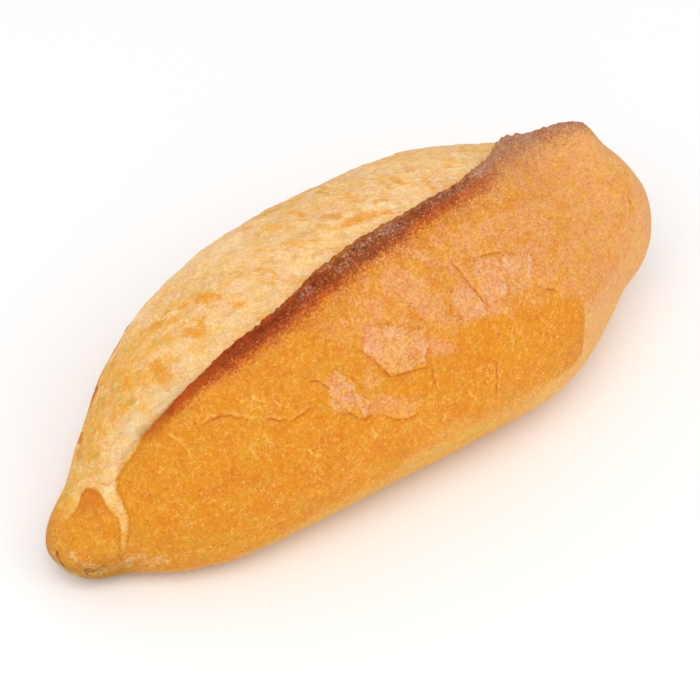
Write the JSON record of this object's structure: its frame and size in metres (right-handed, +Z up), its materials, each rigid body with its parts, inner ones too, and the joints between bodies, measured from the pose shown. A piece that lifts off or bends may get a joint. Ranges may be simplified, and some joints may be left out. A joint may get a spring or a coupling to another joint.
{
  "type": "bolillo roll",
  "caption": "Torpedo-shaped crusty white bread roll with a single score, a lifted toasted ear over a pale torn crumb, a small knob at one end and a flat base.",
  "frame": {"origin": "centre of the bounding box in plan, on the surface that the flat base rests on", "axes": "+X along the roll from the small knob to the blunt end, +Y to the side of the torn crumb, +Z up"},
  "size_m": [0.15, 0.0654, 0.0531],
  "materials": {
    "crust": "baked golden-orange crust, satin, with a dark toasted ear and a matte cream torn crumb behind it"
  },
  "bodies": {
    "root": {"roll": "crust"}
  },
  "joints": []
}
